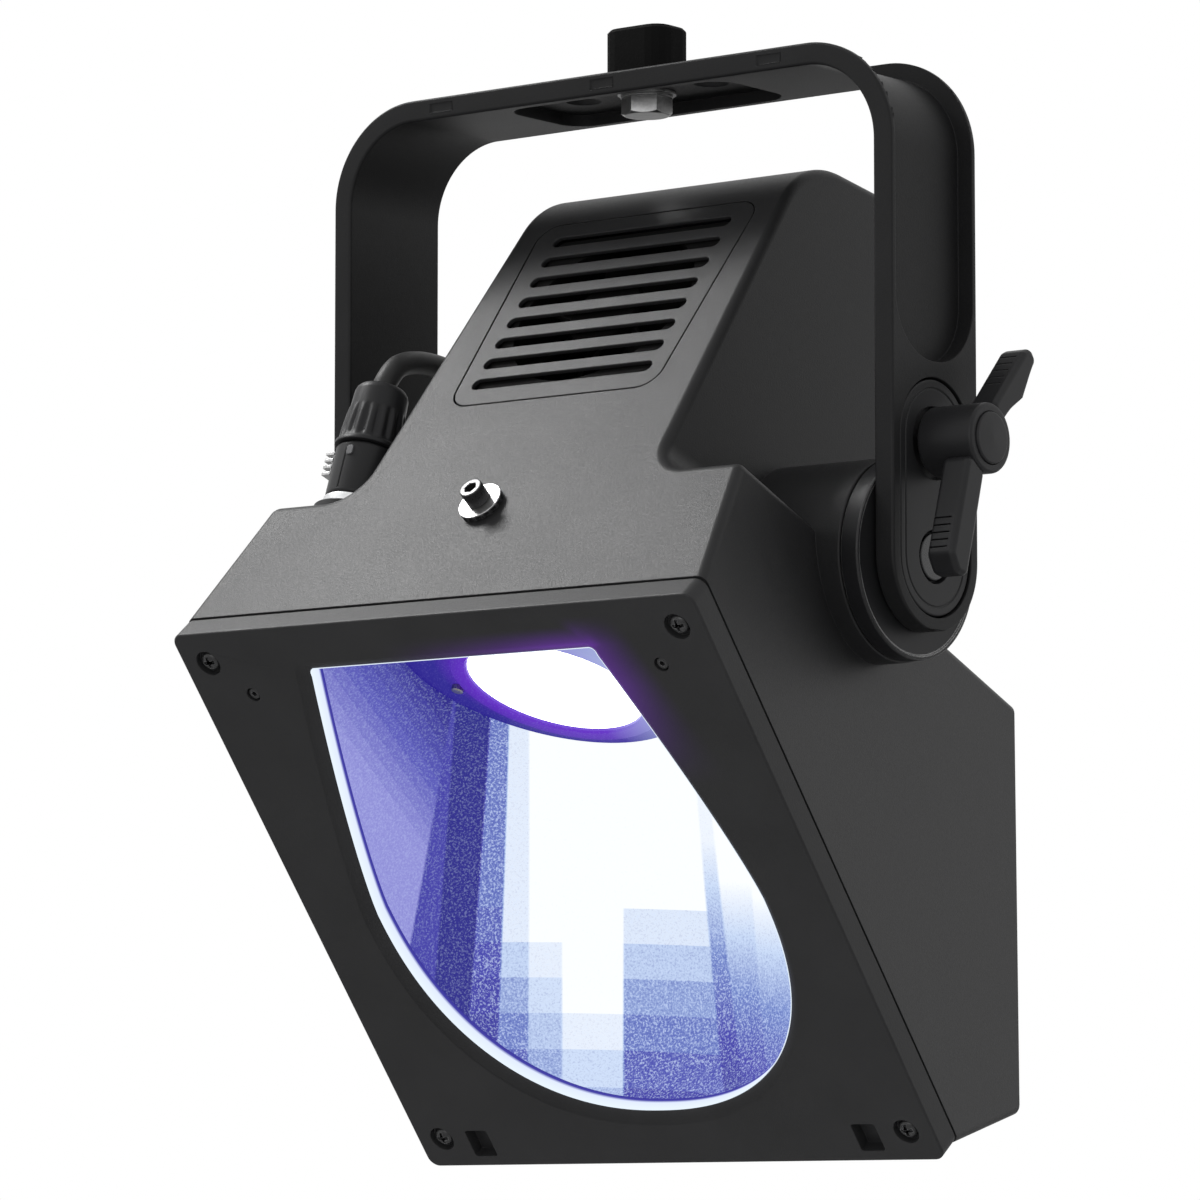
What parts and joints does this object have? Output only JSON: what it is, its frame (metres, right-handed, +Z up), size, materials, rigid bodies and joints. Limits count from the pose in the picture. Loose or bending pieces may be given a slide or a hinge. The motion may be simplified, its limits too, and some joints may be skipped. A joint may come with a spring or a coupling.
{
  "type": "cyclorama light",
  "caption": "Hanging cyclorama light: tapered lamp head with a square window, bowl reflector and vented neck, tilting in a channel yoke under a hanging block.",
  "frame": {"origin": "centre of the hanging block's top face, on the pan axis", "axes": "+Z up, -Y towards the side the lamp shines on, +X the side with the tilt lever"},
  "size_m": [0.3247, 0.2762, 0.4776],
  "materials": {
    "black_coat": "black textured powder coat on aluminium",
    "zinc": "bright zinc plate",
    "steel": "plain steel",
    "black_plastic": "black moulded plastic",
    "key_plastic": "dark grey keys",
    "mirror_sheet": "hammered reflector sheet",
    "lamp_plate": "satin sheet",
    "lens": "glowing lens",
    "bare_aluminium": "bare aluminium",
    "board": "green circuit board",
    "screen": "dark display window",
    "lead": "black rubber sheath"
  },
  "bodies": {
    "hanger": {"hanger_block": "black_coat", "pan_bolt": "zinc", "spring_washer": "zinc", "flat_washer": "zinc"},
    "yoke_frame": {"yoke": "black_coat", "pivot_plate_left": "black_plastic", "pivot_plate_right": "black_plastic", "pivot_bolt_left": "steel", "pivot_bolt_right": "steel", "brake_shoe": "steel"},
    "lever": {"tilt_lever": "black_plastic", "lever_cap": "black_plastic", "lever_stud": "steel"},
    "head": {"housing": "black_coat", "bezel": "black_coat", "bezel_screw_a": "steel", "bezel_screw_b": "steel", "bezel_screw_c": "steel", "bezel_screw_d": "steel", "set_screw_left": "steel", "set_screw_right": "steel", "friction_disc_left": "bare_aluminium", "friction_disc_right": "bare_aluminium", "vent_panel": "black_coat", "earth_screw": "steel", "earth_washer": "zinc", "reflector_lower": "mirror_sheet", "reflector_left": "mirror_sheet", "reflector_upper": "mirror_sheet", "reflector_right": "mirror_sheet", "ceiling_plate": "lamp_plate", "ceiling_screw": "zinc", "led_board": "bare_aluminium", "lamp_ring": "bare_aluminium", "lamp_lens": "lens", "heat_sink": "bare_aluminium", "fan_frame": "black_plastic", "rear_cover": "black_coat", "cover_screw_a": "steel", "cover_screw_b": "steel", "cover_screw_c": "steel", "cover_screw_d": "steel", "display": "screen", "power_socket": "black_plastic", "data_socket_a": "black_plastic", "data_socket_b": "black_plastic", "control_board": "board", "driver_box": "bare_aluminium", "socket_flange": "bare_aluminium", "plug_body": "black_plastic", "lead_bushing": "black_plastic", "lead_gland": "black_plastic", "link_lead": "lead"},
    "fan": {"fan_rotor": "black_plastic"},
    "key_a": {"button_a": "key_plastic"},
    "key_b": {"button_b": "key_plastic"},
    "key_c": {"button_c": "key_plastic"},
    "key_d": {"button_d": "key_plastic"},
    "latch": {"plug_latch": "zinc"}
  },
  "joints": [
    {"name": "pan", "type": "hinge", "parent": "hanger", "child": "yoke_frame", "pos_m": [0, 0, -0.0227], "axis": [0, 0, 1], "range_deg": [-175, 175]},
    {"name": "tilt", "type": "hinge", "parent": "yoke_frame", "child": "head", "pos_m": [0, 0, -0.235], "axis": [1, 0, 0], "range_deg": [-75, 120]},
    {"name": "lever_turn", "type": "hinge", "parent": "yoke_frame", "child": "lever", "pos_m": [0.16, 0, -0.1885], "axis": [1, 0, 0], "range_deg": [-60, 60]},
    {"name": "fan_spin", "type": "hinge", "parent": "head", "child": "fan", "pos_m": [0, -0.01975, -0.13075], "axis": [0, -0.7771, 0.6293], "continuous": true},
    {"name": "key_a_press", "type": "slide", "parent": "head", "child": "key_a", "axis": [0, -1, 0], "range_m": [0, 0.0008], "stiffness_N_per_m": 400},
    {"name": "key_b_press", "type": "slide", "parent": "head", "child": "key_b", "axis": [0, -1, 0], "range_m": [0, 0.0008], "stiffness_N_per_m": 400},
    {"name": "key_c_press", "type": "slide", "parent": "head", "child": "key_c", "axis": [0, -1, 0], "range_m": [0, 0.0008], "stiffness_N_per_m": 400},
    {"name": "key_d_press", "type": "slide", "parent": "head", "child": "key_d", "axis": [0, -1, 0], "range_m": [0, 0.0008], "stiffness_N_per_m": 400},
    {"name": "latch_slide", "type": "slide", "parent": "head", "child": "latch", "axis": [0, -0.3322, -0.9432], "range_m": [0, 0.002], "stiffness_N_per_m": 500}
  ]
}
